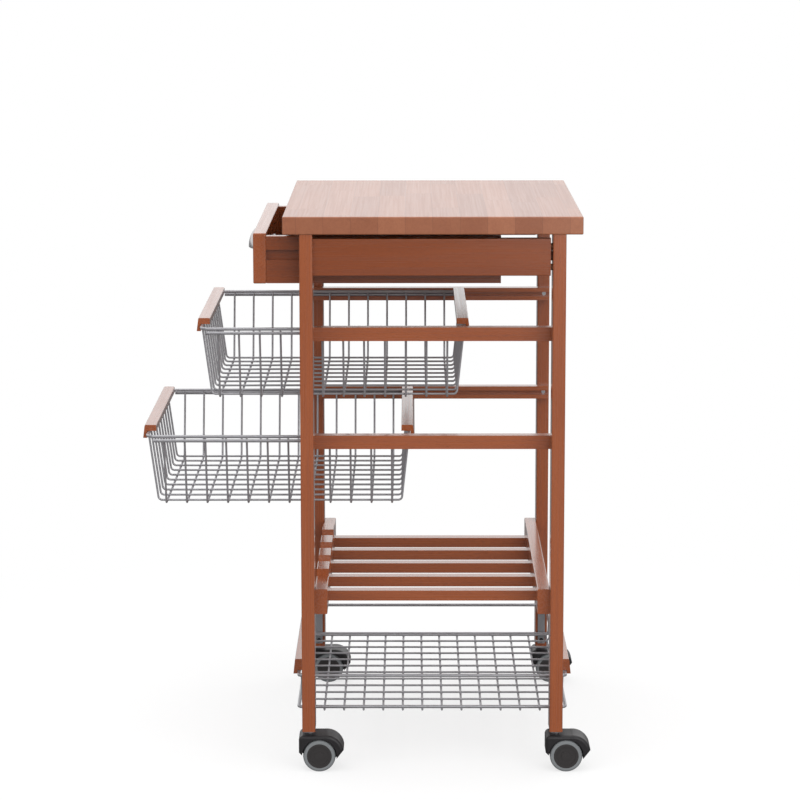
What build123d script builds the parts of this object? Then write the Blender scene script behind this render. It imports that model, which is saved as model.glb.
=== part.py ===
from build123d import *
import math
import os

# Kitchen cart, in millimetres. +Z is up, the front with the drawer's pull faces -Y, and the origin
# lies on the floor, midway between the four legs. The drawer and the two pull-out baskets are built
# closed and then drawn out to where they rest.

# Worktop
TOP_HEIGHT = 860.0
TOP_THICK = 27.0
TOP_SIDE_OVERHANG = 2.0
TOP_END_OVERHANG = 25.0
TOP_EDGE_ROUND = 2.0

# Legs
LEGS_WIDTH = 546.0
LEGS_DEPTH = 400.0
LEG_WIDTH = 45.0
LEG_THICK = 20.0
LEG_EDGE_ROUND = 2.0

# Aprons under the worktop, one on each side
APRON_THICK = 18.0
APRON_HEIGHT = 56.0
APRON_INSET = 6.0
APRON_DROP = 7.0
APRON_REAR_GAP = 3.0
WOOD_EDGE_ROUND = 1.5

# Dowels
DOWEL_DIAMETER = 10.0
DOWEL_FIT = 0.05
DOWEL_END_ROOM = 0.5
DOWEL_IN_LEG = 14.0
DOWEL_IN_APRON = 20.0
DOWEL_FROM_APRON_EDGE = 12.5
TOP_DOWEL_IN_LEG = 25.0
TOP_DOWEL_IN_TOP = 15.0
TOP_DOWEL_FROM_LEG_FACE = 13.0
RACK_DOWEL_IN_LEG = 12.0
RACK_DOWEL_IN_BAR = 14.0
RACK_DOWEL_FROM_LEG_FACE = 12.0

# Rails of the pull-out baskets
RAIL_THICK = 18.0
RAIL_WEB = 10.0
RAIL_HEIGHT = 21.0
RAIL_GROOVE = 7.0
RAIL_SETBACK = 1.0
RAIL_END_ROUND = 3.0
UPPER_RAIL_DROP = 157.5
RAIL_PITCH = 167.0

# Screws of the rails and of the drawer's pull
SCREW_HEAD_DIAMETER = 6.4
SCREW_HEAD_HEIGHT = 2.4
SCREW_SHANK_DIAMETER = 3.5
SCREW_BITE = 17.0
SCREW_FIT = 0.05
SCREW_SLOT_LENGTH = 4.0
SCREW_SLOT_WIDTH = 0.8
SCREW_SLOT_DEPTH = 1.0

# Drawer and its runners
RUNNER_THICK = 20.0
RUNNER_HEIGHT = 14.5
RUNNER_DROP = 30.3
RUNNER_TOP_PLAY = 0.3
RUNNER_BOTTOM_PLAY = 0.9
RUNNER_SIDE_PLAY = 1.0
DRAWER_GROOVE_DEPTH = 8.0
DRAWER_SIDE_THICK = 15.0
DRAWER_SIDE_HEIGHT = 72.0
DRAWER_SIDE_DROP = 9.0
DRAWER_DEPTH = 356.0
DRAWER_BACK_THICK = 15.0
DRAWER_FRONT_THICK = 20.0
DRAWER_FRONT_HEIGHT = 77.0
DRAWER_FRONT_DROP = 4.5
DRAWER_FRONT_OVERLAP = 1.0
DRAWER_FRONT_ROUND = 2.0
DRAWER_BOTTOM_THICK = 4.0
DRAWER_BOTTOM_TONGUE = 4.8
DRAWER_BOTTOM_LIFT = 6.0
DRAWER_BOTTOM_PLAY = 0.1
DRAWER_REST = 52.0

# Drawer pull
PULL_WIDTH = 90.0
PULL_DEPTH = 18.5
PULL_HEIGHT = 31.0
PULL_DROP = 14.5
PULL_WALL = 2.0
PULL_POST_DIAMETER = 8.0
PULL_POST_LIFT = 12.0
PULL_SCREW_SPACING = 64.0
PULL_SCREW_BITE = 8.0

# Wire baskets
RIM_WIRE = 5.0
BASKET_WIRE = 3.2
WELD_GAP = 0.15
SLANT_WELD_GAP = 0.35
WIRE_END_ROOM = 0.45
RIM_CORNER = 14.0
RIM_SIDE_PLAY = 0.5
RIM_RISE = 5.6
RIM_FRONT_OVERHANG = 2.0
SKID_PLAY = 0.3
SKID_REACH = 1.6
SKID_END = 9.0
BASKET_DROP = 104.0
BASKET_FLOOR_WIDTH = 356.0
BASKET_FRONT_RAKE = 14.0
BASKET_REAR_RAKE = 11.0
BASKET_BEND = 6.0
BASKET_CROSS_WIRE_COUNT = 12
BASKET_LONG_WIRE_COUNT = 10
CROSS_WIRE_MARGIN = 26.0
LONG_WIRE_MARGIN = 5.0
UPPER_BASKET_REST = 151.0
MIDDLE_BASKET_REST = 236.0

# Wooden bars on the baskets
BAR_SEAT = 0.2
BAR_HEIGHT = 9.4
BAR_PAST_WIRES = 0.5
BAR_LIP_GAP = 0.3
BAR_LIP_THICK = 6.2
BAR_LIP_DROP = 5.8
BAR_FACE_SLANT = 2.6
BAR_INNER_REACH = 11.5
BAR_ROUND = 2.0

# Fixed bottom basket
BOTTOM_RIM_HEIGHT = 139.0
BOTTOM_RIM_SIDE_GAP = 5.5
BOTTOM_RIM_OVERHANG = 7.0
BOTTOM_RIM_CORNER = 6.0
BOTTOM_DROP = 51.0
BOTTOM_BEND = 8.0
BOTTOM_RAKE = 1.75
BOTTOM_LONG_WIRE_COUNT = 12
BOTTOM_CROSS_WIRE_COUNT = 14
BOTTOM_LONG_MARGIN = 7.0
BOTTOM_CROSS_MARGIN = 9.4
BOTTOM_CROSS_REACH = 2.0
BOTTOM_RISE = 1.5
BOTTOM_BAR_INSET = 20.0
BOTTOM_BAR_HEIGHT = 18.0
BOTTOM_BAR_LIP_DROP = 0.2
BOTTOM_BAR_INNER_REACH = 13.0

# Hooks that carry the bottom basket
HANGER_WIDTH = 12.0
HANGER_THICK = 2.0
HANGER_PLAY = 0.2
HANGER_LENGTH = 73.0
HANGER_RISE = 4.0
HOOK_INNER_GAP = 1.0
HOOK_LIP_RISE = 4.7
BOLT_HEAD_DIAMETER = 7.0
BOLT_HEAD_HEIGHT = 3.0
BOLT_SHANK_DIAMETER = 4.0
BOLT_BITE = 15.0
BOLT_FROM_TAIL = 6.0
BOLT_FIT = 0.05

# Bottle rack
RACK_END_INSET = 21.0
RACK_BAR_THICK = 19.0
RACK_BAR_HEIGHT = 39.0
RACK_BELOW_MIDDLE = 16.45
RACK_TOOTH_COUNT = 4
RACK_TOOTH_LENGTH = 50.0
RACK_TOOTH_RISE = 11.0
RACK_NOTCH_WIDTH = 42.0
RACK_NOTCH_SINK = 7.0
SLAT_COUNT = 5
SLAT_PITCH = 91.0
SLAT_WIDTH = 20.0
SLAT_HEIGHT = 16.0
SLAT_LIFT = 6.0
SLAT_TENON = 6.0
SLAT_FIT = 0.1

# Casters
WHEEL_DIAMETER = 50.0
CASTER_TRAIL = 16.0
HOOD_WIDTH = 46.0
HOOD_WEB = 9.0
WELL_PLAY = 1.8
HOOD_ROOF = 5.5
HOOD_NOSE_WALL = 4.7
HOOD_TAIL_WALL = 10.7
HOOD_TAIL_LIFT = 9.0
HOOD_TAIL_CUT = 12.5
HOOD_TAIL_CORNER_LIFT = 5.0
HOOD_KEEL_DROP = 12.0
HOOD_KEEL_HALF = 9.0
HOOD_NOSE_LIFT = 5.0
HOOD_NOSE_CUT = 5.0
HOOD_SHOULDER = 8.0
HOOD_NOSE_ROUND = 7.0
HOOD_EDGE_ROUND = 5.0
STEM_DIAMETER = 10.0
STEM_FIT = 0.05
STEM_IN_LEG = 35.0
STEM_IN_HOOD = 8.5
STEM_END_ROOM = 0.5
COLLAR_DIAMETER = 16.0
COLLAR_HEIGHT = 6.6
SWIVEL_PLAY = 0.1
AXLE_DIAMETER = 6.0
AXLE_FIT = 0.05
HUB_FIT = 0.02
HUB_CAP = 2.0
WHEEL_WEB_PLAY = 0.7
WHEEL_SIDE_INSET = 1.5
TYRE_THICK = 5.8
TYRE_FIT = 0.05
TYRE_ROUND = 3.5
HUB_DISH_OUTER = 15.0
HUB_DISH_INNER = 7.0
HUB_DISH_DEPTH = 1.2

# Places worked out from the sizes above
leg_out = LEGS_WIDTH / 2
leg_in = leg_out - LEG_WIDTH
leg_x = (leg_out + leg_in) / 2
leg_end = LEGS_DEPTH / 2
leg_face = leg_end - LEG_THICK
leg_y = (leg_end + leg_face) / 2
top_bottom = TOP_HEIGHT - TOP_THICK

wheel_radius = WHEEL_DIAMETER / 2
well_radius = wheel_radius + WELL_PLAY
hood_top = wheel_radius + well_radius + HOOD_ROOF
leg_foot = hood_top + SWIVEL_PLAY + COLLAR_HEIGHT

apron_out = leg_out - APRON_INSET
apron_in = apron_out - APRON_THICK
apron_top = top_bottom - APRON_DROP
apron_bottom = apron_top - APRON_HEIGHT

dowel_radius = DOWEL_DIAMETER / 2
apron_dowel_x = (apron_out + apron_in) / 2
apron_dowel_heights = (apron_bottom + DOWEL_FROM_APRON_EDGE, apron_top - DOWEL_FROM_APRON_EDGE)
top_dowel_x = leg_in + TOP_DOWEL_FROM_LEG_FACE
rack_dowel_x = leg_in + RACK_DOWEL_FROM_LEG_FACE

rail_in = leg_in - RAIL_THICK
rail_end = leg_end - RAIL_SETBACK
groove_floor = leg_in - RAIL_WEB
upper_rail_z = top_bottom - UPPER_RAIL_DROP
lower_rail_z = upper_rail_z - RAIL_PITCH
runner_in = leg_in - RUNNER_THICK
runner_top = top_bottom - RUNNER_DROP
runner_bottom = runner_top - RUNNER_HEIGHT
runner_z = (runner_top + runner_bottom) / 2

drawer_groove_floor = runner_in - RUNNER_SIDE_PLAY
drawer_side_out = drawer_groove_floor + DRAWER_GROOVE_DEPTH
drawer_side_in = drawer_side_out - DRAWER_SIDE_THICK
drawer_front_half = drawer_side_out + DRAWER_FRONT_OVERLAP
drawer_side_top = top_bottom - DRAWER_SIDE_DROP
drawer_side_bottom = drawer_side_top - DRAWER_SIDE_HEIGHT
drawer_front_top = top_bottom - DRAWER_FRONT_DROP
drawer_front_bottom = drawer_front_top - DRAWER_FRONT_HEIGHT
drawer_front_back = -leg_end
drawer_front_face = drawer_front_back - DRAWER_FRONT_THICK
drawer_rear = drawer_front_back + DRAWER_DEPTH
bottom_low = drawer_side_bottom + DRAWER_BOTTOM_LIFT
bottom_high = bottom_low + DRAWER_BOTTOM_THICK
pull_top = drawer_front_top - PULL_DROP
pull_bottom = pull_top - PULL_HEIGHT
pull_screw_z = pull_bottom + PULL_POST_LIFT

rim_radius = RIM_WIRE / 2
wire_radius = BASKET_WIRE / 2
rim_x = rail_in - RIM_SIDE_PLAY - rim_radius
rim_front = -leg_end - RIM_FRONT_OVERHANG
rim_rear = leg_end
skid_x = rail_in + SKID_REACH
cross_wire_x = skid_x - rim_radius - SLANT_WELD_GAP - wire_radius
wire_top_drop = rim_radius + WELD_GAP + WIRE_END_ROOM
weld_step = rim_radius + WELD_GAP + wire_radius
crossing_step = BASKET_WIRE + WELD_GAP
basket_floor_half = BASKET_FLOOR_WIDTH / 2
long_wire_x = basket_floor_half - LONG_WIRE_MARGIN
bar_half = long_wire_x + BAR_PAST_WIRES
skid_lift = rim_radius + SKID_PLAY - RAIL_GROOVE / 2
cross_wire_lean = (cross_wire_x - basket_floor_half) / BASKET_DROP

bottom_rim_x = leg_in - BOTTOM_RIM_SIDE_GAP - rim_radius
bottom_rim_y = leg_end + BOTTOM_RIM_OVERHANG
bottom_bar_half = bottom_rim_x - BOTTOM_BAR_INSET
bottom_bar_top = BOTTOM_RIM_HEIGHT + rim_radius + BAR_SEAT + BOTTOM_BAR_HEIGHT
bottom_long_z = BOTTOM_RIM_HEIGHT - BOTTOM_DROP
bottom_cross_z = bottom_long_z - crossing_step
bottom_loop_z = bottom_cross_z + weld_step
hook_top = BOTTOM_RIM_HEIGHT - rim_radius - HANGER_PLAY
hook_inner = bottom_rim_x - rim_radius - HOOK_INNER_GAP
hanger_top = BOTTOM_RIM_HEIGHT + HANGER_RISE
hanger_bottom = hanger_top - HANGER_LENGTH
bolt_z = hanger_bottom + BOLT_FROM_TAIL

rack_in = leg_face - RACK_BAR_THICK
rack_half = leg_out - RACK_END_INSET
middle_basket_low = lower_rail_z + skid_lift - BASKET_DROP - wire_radius
rack_z = (middle_basket_low + bottom_bar_top) / 2 - RACK_BELOW_MIDDLE
rack_bottom = rack_z - RACK_BAR_HEIGHT / 2
rack_top = rack_z + RACK_BAR_HEIGHT / 2
slat_low = rack_bottom + SLAT_LIFT
slat_high = slat_low + SLAT_HEIGHT

stem_radius = STEM_DIAMETER / 2
axle_radius = AXLE_DIAMETER / 2
hood_half = HOOD_WIDTH / 2
web_half = HOOD_WEB / 2
wheel_in = web_half + WHEEL_WEB_PLAY
wheel_out = hood_half - WHEEL_SIDE_INSET
axle_half = wheel_out - HUB_CAP
tyre_bore = wheel_radius - TYRE_THICK

SIDES = {"right": 1, "left": -1}
ENDS = {"front": -1, "rear": 1}


# Shapes that several pieces share
def block(x, y, z):
    """Box between three pairs of coordinates."""
    spans = (x, y, z)
    middle = [(low + high) / 2 for low, high in spans]
    size = [abs(high - low) for low, high in spans]
    return Pos(*middle) * Box(*size)


def rod(start, end, radius):
    """Straight round bar from one point to another."""
    axis = Vector(end) - Vector(start)
    return Solid.make_cylinder(radius, axis.length, Plane(origin=start, z_dir=axis))


def bent_wire(points, bend, radius):
    """Round wire through the points, with each corner bent."""
    path = FilletPolyline(*points, radius=bend)
    start = Plane(origin=points[0], z_dir=Vector(points[1]) - Vector(points[0]))
    return sweep(start * Circle(radius), path=path)


def wire_loop(half_x, front, rear, z, corner, radius):
    """Closed rectangular loop of round wire, made of two bent halves that meet end to end."""
    middle = (front + rear) / 2
    points = [(half_x, middle, z), (half_x, rear, z), (-half_x, rear, z), (-half_x, middle, z)]
    rear_half = bent_wire(points, corner, radius)
    front_half = Pos(0, 2 * middle, 0) * mirror(rear_half, about=Plane.XZ)
    return rear_half + front_half


def profile_along_x(points, half_length):
    """Solid with a profile in Y and Z, centred along X."""
    face = make_face(Polyline(*points, close=True))
    return extrude(Plane.YZ * face, half_length, both=True)


def mirrored(shape):
    """The same piece on the left side."""
    return mirror(shape, about=Plane.YZ)


def reversed_end(shape):
    """The same piece at the other end."""
    return mirror(shape, about=Plane.XZ)


def group(shapes):
    """Separate solids kept as one node."""
    return Compound([solid for shape in shapes for solid in shape.solids()])


def spread(count, low, high):
    """Evenly spaced places from low to high."""
    return [low + (high - low) * index / (count - 1) for index in range(count)]


def four_corners(shape):
    """A piece of the rear right corner, repeated at all four corners."""
    right = [shape, reversed_end(shape)]
    return right + [mirrored(piece) for piece in right]


# Fasteners, each with an optional clearance so that the same function cuts its hole
def side_screw(z, clearance=0.0):
    """Screw through a rail or runner into the rear right leg, its head at the groove's floor."""
    seat = groove_floor + SCREW_HEAD_HEIGHT + clearance
    head = rod((groove_floor, leg_y, z), (seat, leg_y, z), SCREW_HEAD_DIAMETER / 2 + clearance)
    tip = leg_in + SCREW_BITE + clearance
    shank = rod((groove_floor, leg_y, z), (tip, leg_y, z), SCREW_SHANK_DIAMETER / 2 + clearance)
    return Part() + head + shank


def slotted(screw, face, direction):
    """Screw with a cross recess in the middle of its head's face."""
    frame = Plane(origin=face, z_dir=direction)
    arm = Box(SCREW_SLOT_LENGTH, SCREW_SLOT_WIDTH, 2 * SCREW_SLOT_DEPTH)
    return screw - frame * (arm + Rot(0, 0, 90) * arm)


def apron_dowel(z, clearance=0.0, room=0.0):
    """Dowel between the rear right leg and the right apron."""
    inner = leg_face - APRON_REAR_GAP - DOWEL_IN_APRON - room
    outer = leg_face + DOWEL_IN_LEG + room
    return rod((apron_dowel_x, inner, z), (apron_dowel_x, outer, z), dowel_radius + clearance)


def front_apron_dowel(z, clearance=0.0, room=0.0):
    """Dowel between the front right leg and the right apron, which meet face to face."""
    inner = -leg_face + DOWEL_IN_APRON + room
    outer = -leg_face - DOWEL_IN_LEG - room
    return rod((apron_dowel_x, inner, z), (apron_dowel_x, outer, z), dowel_radius + clearance)


def top_dowel(clearance=0.0, room=0.0):
    """Dowel between the rear right leg and the worktop."""
    low = top_bottom - TOP_DOWEL_IN_LEG - room
    high = top_bottom + TOP_DOWEL_IN_TOP + room
    return rod((top_dowel_x, leg_y, low), (top_dowel_x, leg_y, high), dowel_radius + clearance)


def rack_dowel(clearance=0.0, room=0.0):
    """Dowel between the rear right leg and the bottle rack's bar."""
    inner = leg_face - RACK_DOWEL_IN_BAR - room
    outer = leg_face + RACK_DOWEL_IN_LEG + room
    return rod((rack_dowel_x, inner, rack_z), (rack_dowel_x, outer, rack_z), dowel_radius + clearance)


def hanger_bolt(clearance=0.0):
    """Bolt through a hook into the rear right leg."""
    seat = leg_in - HANGER_THICK
    head = rod((seat - BOLT_HEAD_HEIGHT, leg_y, bolt_z), (seat, leg_y, bolt_z), BOLT_HEAD_DIAMETER / 2)
    tip = leg_in + BOLT_BITE + clearance
    shank = rod((seat, leg_y, bolt_z), (tip, leg_y, bolt_z), BOLT_SHANK_DIAMETER / 2 + clearance)
    return Part() + head + shank


def pull_screw(x, clearance=0.0):
    """Screw through the drawer's front into the pull, its head inside the drawer."""
    head_end = drawer_front_back + SCREW_HEAD_HEIGHT
    tip = drawer_front_face - PULL_SCREW_BITE - clearance
    radius = SCREW_SHANK_DIAMETER / 2 + clearance
    head = rod((x, drawer_front_back, pull_screw_z), (x, head_end, pull_screw_z), SCREW_HEAD_DIAMETER / 2)
    shank = rod((x, drawer_front_back, pull_screw_z), (x, tip, pull_screw_z), radius)
    return Part() + head + shank


# Frame
def worktop():
    half_x = leg_out + TOP_SIDE_OVERHANG
    half_y = leg_end + TOP_END_OVERHANG
    board = block((-half_x, half_x), (-half_y, half_y), (top_bottom, TOP_HEIGHT))
    board = fillet(board.edges(), TOP_EDGE_ROUND)
    for hole in four_corners(top_dowel(DOWEL_FIT, DOWEL_END_ROOM)):
        board -= hole
    return board


def leg():
    """Rear right leg, with every hole that the pieces on it need."""
    post = block((leg_in, leg_out), (leg_face, leg_end), (leg_foot, top_bottom))
    post = fillet(post.edges().filter_by(Axis.Z), LEG_EDGE_ROUND)
    for z in apron_dowel_heights:
        post -= apron_dowel(z, DOWEL_FIT, DOWEL_END_ROOM)
    post -= top_dowel(DOWEL_FIT, DOWEL_END_ROOM)
    post -= rack_dowel(DOWEL_FIT, DOWEL_END_ROOM)
    for z in (upper_rail_z, lower_rail_z, runner_z):
        post -= side_screw(z, SCREW_FIT)
    post -= hanger_bolt(BOLT_FIT)
    stem_end = leg_foot + STEM_IN_LEG + STEM_END_ROOM
    post -= rod((leg_x, leg_y, leg_foot), (leg_x, leg_y, stem_end), stem_radius + STEM_FIT)
    return post


def apron():
    """Right apron. It butts on the front leg and stops short of the rear leg."""
    rear = leg_face - APRON_REAR_GAP
    board = block((apron_in, apron_out), (-leg_face, rear), (apron_bottom, apron_top))
    board = fillet(board.edges().filter_by(Axis.Y), WOOD_EDGE_ROUND)
    for z in apron_dowel_heights:
        board -= apron_dowel(z, DOWEL_FIT, DOWEL_END_ROOM)
        board -= front_apron_dowel(z, DOWEL_FIT, DOWEL_END_ROOM)
    return board


def frame_dowels():
    right = []
    for z in apron_dowel_heights:
        right += [apron_dowel(z), front_apron_dowel(z)]
    return group(right + [mirrored(dowel) for dowel in right]
                 + four_corners(top_dowel()) + four_corners(rack_dowel()))


def rail(z):
    """Right rail, with the groove in which a basket's rim slides."""
    height = (z - RAIL_HEIGHT / 2, z + RAIL_HEIGHT / 2)
    bar = block((rail_in, leg_in), (-rail_end, rail_end), height)
    bar = fillet(bar.edges().filter_by(Axis.Z).sort_by(Axis.X)[:2], RAIL_END_ROUND)
    bar -= block((rail_in, groove_floor), (-rail_end, rail_end), (z - RAIL_GROOVE / 2, z + RAIL_GROOVE / 2))
    hole = side_screw(z, SCREW_FIT)
    return bar - hole - reversed_end(hole)


def runner():
    """Right drawer runner, a plain batten with sunk screws."""
    bar = block((runner_in, leg_in), (-rail_end, rail_end), (runner_bottom, runner_top))
    bar = fillet(bar.edges().filter_by(Axis.Z).sort_by(Axis.X)[:2], RAIL_END_ROUND)
    sink_radius = SCREW_HEAD_DIAMETER / 2 + SCREW_FIT
    sink = rod((runner_in, leg_y, runner_z), (groove_floor, leg_y, runner_z), sink_radius)
    hole = side_screw(runner_z, SCREW_FIT) + sink
    return bar - hole - reversed_end(hole)


def rail_screws():
    screws = []
    for z in (upper_rail_z, lower_rail_z, runner_z):
        screw = slotted(side_screw(z), (groove_floor, leg_y, z), (1, 0, 0))
        screws += four_corners(screw)
    return group(screws)


# Drawer, closed
def drawer_bottom(clearance=0.0):
    half_x = drawer_side_in + DRAWER_BOTTOM_TONGUE + clearance
    front = drawer_front_back - DRAWER_BOTTOM_TONGUE - clearance
    height = (bottom_low - clearance, bottom_high + clearance)
    return block((-half_x, half_x), (front, drawer_rear), height)


def drawer_front():
    half = drawer_front_half
    height = (drawer_front_bottom, drawer_front_top)
    board = block((-half, half), (drawer_front_face, drawer_front_back), height)
    board = fillet(board.edges(), DRAWER_FRONT_ROUND)
    board -= drawer_bottom(DRAWER_BOTTOM_PLAY)
    for side in SIDES.values():
        board -= pull_screw(side * PULL_SCREW_SPACING / 2, SCREW_FIT)
    return board


def pull_dome(wall):
    """Quarter of an ellipsoid, flat behind and below, set in from the pull's outside by a wall."""
    half = PULL_WIDTH / 2 - wall
    depth = PULL_DEPTH - wall
    height = PULL_HEIGHT - wall
    ball = scale(Sphere(height), by=(half / height, depth / height, 1))
    return Pos(0, drawer_front_face, pull_bottom) * (ball & block((-half, half), (-depth, 0), (0, height)))


def drawer_pull():
    """Cup pull, a shell that is open below and behind, with a post for each of its screws."""
    dome = pull_dome(0.0)
    cup = dome - pull_dome(PULL_WALL)
    for side in SIDES.values():
        x = side * PULL_SCREW_SPACING / 2
        ends = [(x, y, pull_screw_z) for y in (drawer_front_face, drawer_front_face - PULL_DEPTH)]
        cup += rod(ends[0], ends[1], PULL_POST_DIAMETER / 2) & dome
        cup -= pull_screw(x, SCREW_FIT)
    return cup


def drawer_side():
    """Right drawer side, grooved outside for the runner and inside for the bottom."""
    length = (drawer_front_back, drawer_rear)
    board = block((drawer_side_in, drawer_side_out), length, (drawer_side_bottom, drawer_side_top))
    board = fillet(board.edges().filter_by(Axis.Y).sort_by(Axis.Z)[-2:], WOOD_EDGE_ROUND)
    low = runner_bottom - RUNNER_BOTTOM_PLAY
    high = runner_top + RUNNER_TOP_PLAY
    board -= block((drawer_groove_floor, drawer_side_out), length, (low, high))
    return board - drawer_bottom(DRAWER_BOTTOM_PLAY)


def drawer_back():
    low = bottom_high + DRAWER_BOTTOM_PLAY
    half = drawer_side_in
    board = block((-half, half), (drawer_rear - DRAWER_BACK_THICK, drawer_rear), (low, drawer_side_top))
    return fillet(board.edges().filter_by(Axis.X).sort_by(Axis.Z)[-2:], WOOD_EDGE_ROUND)


def pull_screws():
    screws = []
    for side in SIDES.values():
        x = side * PULL_SCREW_SPACING / 2
        face = (x, drawer_front_back + SCREW_HEAD_HEIGHT, pull_screw_z)
        screws.append(slotted(pull_screw(x), face, (0, -1, 0)))
    return group(screws)


# Pull-out baskets, closed. Each function takes the height of the skid wires' centre line, which
# puts the wires on the lower wall of the rails' grooves
def basket_rim(z):
    """Rim loop, and under it the two straight skid wires that slide in the rails' grooves."""
    loop = wire_loop(rim_x, rim_front, rim_rear, z + RIM_RISE, RIM_CORNER, rim_radius)
    skid = rod((skid_x, rim_front + SKID_END, z), (skid_x, rim_rear - SKID_END, z), rim_radius)
    return group([loop, skid, mirrored(skid)])


def basket_cross_wires(z):
    """Wires from side to side. They lean on the skid wires and end under the rim."""
    floor = z - BASKET_DROP
    rise = RIM_RISE - wire_top_drop
    top_x = cross_wire_x + cross_wire_lean * rise
    points = [(-top_x, 0, z + rise), (-basket_floor_half, 0, floor),
              (basket_floor_half, 0, floor), (top_x, 0, z + rise)]
    wire = bent_wire(points, BASKET_BEND, wire_radius)
    places = spread(BASKET_CROSS_WIRE_COUNT, rim_front + CROSS_WIRE_MARGIN, rim_rear - CROSS_WIRE_MARGIN)
    return group([Pos(0, y, 0) * wire for y in places])


def basket_long_wires(z):
    """Wires from front to rear. They lie on the cross wires and end under the rim."""
    floor = z - BASKET_DROP + crossing_step
    top = z + RIM_RISE - wire_top_drop
    points = [(0, rim_front, top), (0, rim_front + BASKET_FRONT_RAKE, floor),
              (0, rim_rear - BASKET_REAR_RAKE, floor), (0, rim_rear, top)]
    wire = bent_wire(points, BASKET_BEND, wire_radius)
    places = spread(BASKET_LONG_WIRE_COUNT, -long_wire_x, long_wire_x)
    return group([Pos(x, 0, 0) * wire for x in places])


def lipped_bar(rim_y, z, half_length, height, lip_drop, inner_reach):
    """Wooden bar on a rim's rear wire, with a lip that hangs behind the wire."""
    seat = z + rim_radius + BAR_SEAT
    top = seat + height
    lip_inside = rim_y + rim_radius + BAR_LIP_GAP
    lip_face = lip_inside + BAR_LIP_THICK
    lip_low = z - rim_radius - lip_drop
    inner = rim_y - inner_reach
    points = [(lip_face - BAR_FACE_SLANT, top), (inner, top), (inner, seat),
              (lip_inside, seat), (lip_inside, lip_low), (lip_face, lip_low)]
    bar = profile_along_x(points, half_length)
    top_edges = bar.edges().filter_by(Axis.X).sort_by(Axis.Z)[-2:]
    return fillet(top_edges, BAR_ROUND)


# Bottom basket and its hooks
def bottom_basket_rim():
    """Rim loop, and the floor loop of the same plan, which lies on the cross wires' ends."""
    heights = (BOTTOM_RIM_HEIGHT, bottom_loop_z)
    return group([wire_loop(bottom_rim_x, -bottom_rim_y, bottom_rim_y, z, BOTTOM_RIM_CORNER, rim_radius)
                  for z in heights])


def bottom_basket_long_wires():
    top = BOTTOM_RIM_HEIGHT + BOTTOM_RISE
    end = bottom_rim_y - weld_step
    foot = end - BOTTOM_RAKE
    points = [(0, -end, top), (0, -foot, bottom_long_z), (0, foot, bottom_long_z), (0, end, top)]
    wire = bent_wire(points, BOTTOM_BEND, wire_radius)
    half = bottom_rim_x - BOTTOM_LONG_MARGIN
    return group([Pos(x, 0, 0) * wire for x in spread(BOTTOM_LONG_WIRE_COUNT, -half, half)])


def bottom_basket_cross_wires():
    half = bottom_rim_x + BOTTOM_CROSS_REACH
    wire = rod((-half, 0, bottom_cross_z), (half, 0, bottom_cross_z), wire_radius)
    reach = bottom_rim_y - BOTTOM_CROSS_MARGIN
    return group([Pos(0, y, 0) * wire for y in spread(BOTTOM_CROSS_WIRE_COUNT, -reach, reach)])


def hanger():
    """Flat steel hook on the rear right leg: a strip, a ledge under the rim and a lip inside it."""
    width = (leg_y - HANGER_WIDTH / 2, leg_y + HANGER_WIDTH / 2)
    strip = block((leg_in - HANGER_THICK, leg_in), width, (hanger_bottom, hanger_top))
    ledge = block((hook_inner - HANGER_THICK, leg_in), width, (hook_top - HANGER_THICK, hook_top))
    lip_height = (hook_top - HANGER_THICK, hook_top + HOOK_LIP_RISE)
    lip = block((hook_inner - HANGER_THICK, hook_inner), width, lip_height)
    hook = strip + ledge + lip
    return hook - hanger_bolt(BOLT_FIT)


# Bottle rack
def slat_places():
    reach = SLAT_PITCH * (SLAT_COUNT - 1) / 2
    return spread(SLAT_COUNT, -reach, reach)


def slat(x, clearance=0.0):
    half_y = rack_in + SLAT_TENON + clearance
    half_x = SLAT_WIDTH / 2 + clearance
    return block((x - half_x, x + half_x), (-half_y, half_y), (slat_low - clearance, slat_high + clearance))


def rack_bar():
    """Plain rear crossbar, with a mortise for each slat."""
    bar = block((-rack_half, rack_half), (rack_in, leg_face), (rack_bottom, rack_top))
    bar = fillet(bar.edges().filter_by(Axis.X), WOOD_EDGE_ROUND)
    for x in slat_places():
        bar -= slat(x, SLAT_FIT)
    hole = rack_dowel(DOWEL_FIT, DOWEL_END_ROOM)
    return bar - hole - mirrored(hole)


def rack_front_bar():
    """Front crossbar, with raised teeth and a round-bottomed notch between each two."""
    bar = reversed_end(rack_bar())
    step = RACK_TOOTH_LENGTH + RACK_NOTCH_WIDTH
    teeth_half = (RACK_TOOTH_COUNT * step - RACK_NOTCH_WIDTH) / 2
    depth = (-leg_face, -rack_in)
    crest = rack_top + RACK_TOOTH_RISE
    ridge = block((-teeth_half, teeth_half), depth, (rack_top - WOOD_EDGE_ROUND, crest))
    bar += fillet(ridge.edges().filter_by(Axis.X).sort_by(Axis.Z)[-2:], WOOD_EDGE_ROUND)
    rise = RACK_TOOTH_RISE + RACK_NOTCH_SINK
    half = RACK_NOTCH_WIDTH / 2
    radius = (half**2 + rise**2) / (2 * rise)
    centre_z = rack_top - RACK_NOTCH_SINK + radius
    for index in range(1, RACK_TOOTH_COUNT):
        x = -teeth_half + index * step - half
        bar -= rod((x, -leg_face, centre_z), (x, -rack_in, centre_z), radius)
    return bar


# Casters, each at the place of its stem and trailing towards the rear
def caster_stem():
    low = hood_top - STEM_IN_HOOD
    pin = rod((0, 0, low), (0, 0, leg_foot + STEM_IN_LEG), stem_radius)
    collar = rod((0, 0, hood_top + SWIVEL_PLAY), (0, 0, leg_foot), COLLAR_DIAMETER / 2)
    return Part() + pin + collar


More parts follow.
